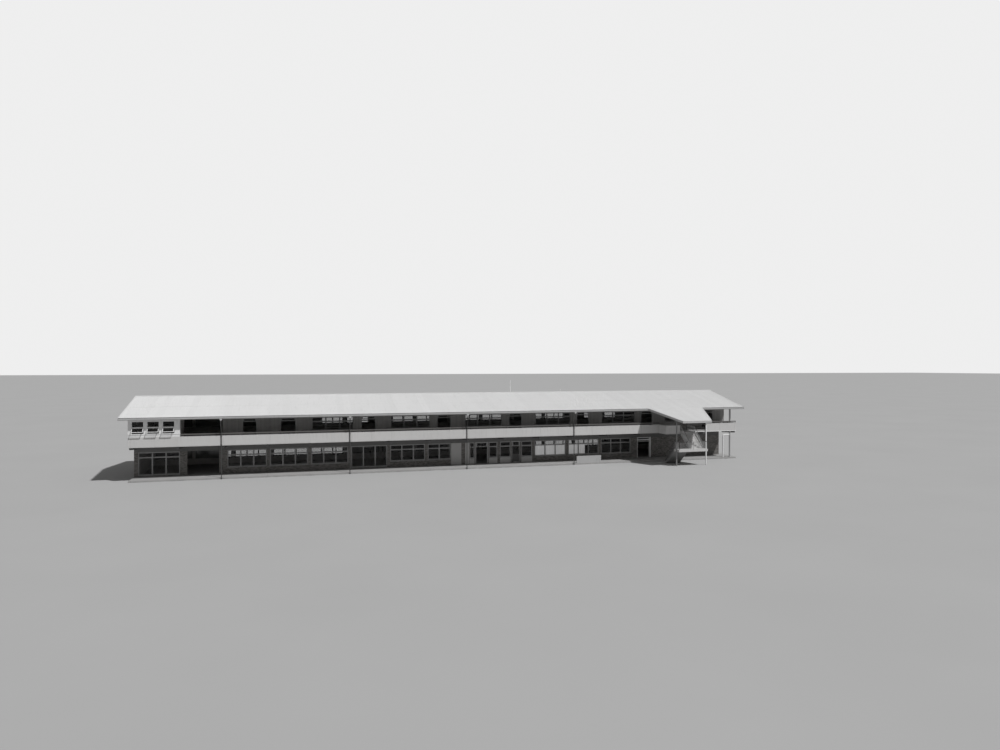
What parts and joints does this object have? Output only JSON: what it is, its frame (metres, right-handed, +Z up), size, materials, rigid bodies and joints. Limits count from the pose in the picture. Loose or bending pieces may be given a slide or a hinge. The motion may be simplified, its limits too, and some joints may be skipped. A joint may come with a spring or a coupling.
{
  "type": "school building, 1:2 scale model",
  "caption": "Long two-storey classroom block with open verandas, solid balustrade bands, low pitched roof and a roofed dog-leg stair; 1:2 scale model.",
  "frame": {"origin": "centre of the main block's footprint, at ground level", "axes": "+X along the long front, to the right when facing it; -Y out of the front, where the stair stands; +Z up"},
  "size_m": [37.626, 11.9, 5.2773],
  "materials": {
    "concrete": "cast concrete, weathered",
    "wall_render": "painted render",
    "pale_render": "pale painted render",
    "band_panel": "painted precast panel with rain streaks",
    "grey_frame": "light grey paint",
    "white_frame": "white paint",
    "window_glass": "clear window glass",
    "door_paint": "painted boards",
    "dark_rail": "dark stained timber",
    "dark_metal": "dark paint",
    "white_metal": "white paint",
    "pale_metal": "pale paint",
    "ceiling_board": "painted boards",
    "gable_board": "painted boards",
    "roof_sheet": "profiled sheet, weathered",
    "fascia_paint": "painted gutter and fascia"
  },
  "bodies": {
    "building": {"balustrade_ends": "band_panel", "balustrade_front": "band_panel", "balustrade_rear": "band_panel", "barge_boards": "fascia_paint", "cantilever_beams": "concrete", "ceiling": "ceiling_board", "corner_room_beams": "white_frame", "corner_room_frames": "white_frame", "corner_room_glass": "window_glass", "corner_room_posts": "white_frame", "corner_room_sashes": "white_frame", "corner_room_side_walls": "wall_render", "downpipes": "dark_metal", "end_columns": "pale_render", "gable_infills": "gable_board", "ground_door_hinges": "dark_metal", "ground_door_jambs": "grey_frame", "ground_end_walls": "wall_render", "ground_glass": "window_glass", "ground_piers": "wall_render", "ground_ring_beams": "wall_render", "ground_sill_walls": "wall_render", "ground_slab": "concrete", "ground_window_frames": "grey_frame", "gutters": "fascia_paint", "handrail_front": "dark_rail", "handrail_rear": "dark_rail", "low_front_wall": "pale_render", "open_railing": "dark_metal", "rainwater_heads": "white_metal", "ridge_capping": "roof_sheet", "roof_front": "roof_sheet", "roof_rear": "roof_sheet", "roof_vent_pipes": "white_metal", "stair_guards": "band_panel", "stair_handrails": "dark_metal", "stair_landings": "concrete", "stair_lower_flight": "concrete", "stair_posts": "pale_metal", "stair_roof": "roof_sheet", "stair_roof_fascia": "fascia_paint", "stair_upper_flight": "concrete", "upper_door_jambs": "grey_frame", "upper_end_walls": "wall_render", "upper_glass": "window_glass", "upper_piers": "wall_render", "upper_ring_beams": "wall_render", "upper_sill_walls": "wall_render", "upper_slab": "concrete", "upper_window_frames": "grey_frame", "waste_pipe": "white_metal"},
    "door_leaf": {"ground_door": "door_paint", "ground_door_glass": "window_glass"}
  },
  "joints": [
    {"name": "ground_door_hinge", "type": "hinge", "parent": "building", "child": "door_leaf", "pos_m": [3.17482, -2.587, 0.625], "axis": [0, 0, -1], "range_deg": [0, 95]}
  ]
}
